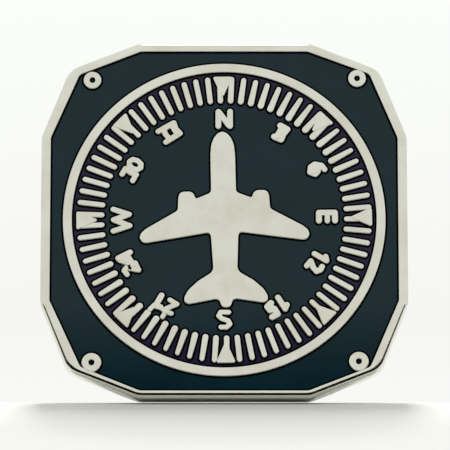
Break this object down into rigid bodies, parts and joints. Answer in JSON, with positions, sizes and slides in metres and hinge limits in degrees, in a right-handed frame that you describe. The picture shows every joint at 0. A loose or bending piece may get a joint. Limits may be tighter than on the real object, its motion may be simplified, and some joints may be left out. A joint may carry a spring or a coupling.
{
  "type": "lapel pin",
  "caption": "Square lapel pin with cut corners and a black enamel heading dial around an airliner, on pin posts with butterfly clutches.",
  "frame": {"origin": "centre of the plate's back face, which lies against the cloth", "axes": "+Y out of the back along the pin posts, -Y out of the face, +Z towards north on the dial, +X to the right seen from the front"},
  "size_m": [0.0254, 0.0097, 0.0254],
  "materials": {
    "struck_nickel": "die struck, nickel plated and softly polished",
    "black_enamel": "glossy black enamel with a cool cast",
    "clutch_nickel": "pressed sheet, nickel plated",
    "post_steel": "drawn wire, nickel plated",
    "spring_steel": "drawn spring wire",
    "solder": "dull soft solder"
  },
  "bodies": {
    "pin": {"pin_body": "struck_nickel", "enamel_dial": "black_enamel", "enamel_field": "black_enamel", "enamel_dot_top_left": "black_enamel", "enamel_dot_top_right": "black_enamel", "enamel_dot_bottom_left": "black_enamel", "enamel_dot_bottom_right": "black_enamel", "enamel_counter_30": "black_enamel", "enamel_counter_33": "black_enamel", "post_left": "post_steel", "solder_left": "solder", "post_right": "post_steel", "solder_right": "solder"},
    "clutch_left": {"clutch_left_base": "clutch_nickel", "clutch_left_housing": "clutch_nickel", "clutch_left_grip_spring": "spring_steel"},
    "clutch_left_wing_left": {"clutch_left_wing_left": "clutch_nickel"},
    "clutch_left_wing_right": {"clutch_left_wing_right": "clutch_nickel"},
    "clutch_right": {"clutch_right_base": "clutch_nickel", "clutch_right_housing": "clutch_nickel", "clutch_right_grip_spring": "spring_steel"},
    "clutch_right_wing_left": {"clutch_right_wing_left": "clutch_nickel"},
    "clutch_right_wing_right": {"clutch_right_wing_right": "clutch_nickel"}
  },
  "joints": [
    {"name": "clutch_left_slide", "type": "slide", "parent": "pin", "child": "clutch_left", "axis": [0, 1, 0], "range_m": [-0.0015, 0.0075]},
    {"name": "clutch_left_squeeze", "type": "hinge", "parent": "clutch_left", "child": "clutch_left_wing_right", "pos_m": [-0.0042, 0.0044, 0], "axis": [0, 0, 1], "range_deg": [0, 10], "stiffness_Nm_per_rad": 0.002},
    {"name": "clutch_left_squeeze_other_wing", "type": "hinge", "parent": "clutch_left", "child": "clutch_left_wing_left", "pos_m": [-0.0088, 0.0044, 0], "axis": [0, 0, 1], "range_deg": [-10, 0], "stiffness_Nm_per_rad": 0.002},
    {"name": "clutch_right_slide", "type": "slide", "parent": "pin", "child": "clutch_right", "axis": [0, 1, 0], "range_m": [-0.0015, 0.0075]},
    {"name": "clutch_right_squeeze", "type": "hinge", "parent": "clutch_right", "child": "clutch_right_wing_right", "pos_m": [0.0088, 0.0044, 0], "axis": [0, 0, 1], "range_deg": [0, 10], "stiffness_Nm_per_rad": 0.002},
    {"name": "clutch_right_squeeze_other_wing", "type": "hinge", "parent": "clutch_right", "child": "clutch_right_wing_left", "pos_m": [0.0042, 0.0044, 0], "axis": [0, 0, 1], "range_deg": [-10, 0], "stiffness_Nm_per_rad": 0.002}
  ],
  "couplings": [
    {"joint": "clutch_left_squeeze_other_wing", "follows": "clutch_left_squeeze", "ratio": -1},
    {"joint": "clutch_right_squeeze_other_wing", "follows": "clutch_right_squeeze", "ratio": -1}
  ]
}
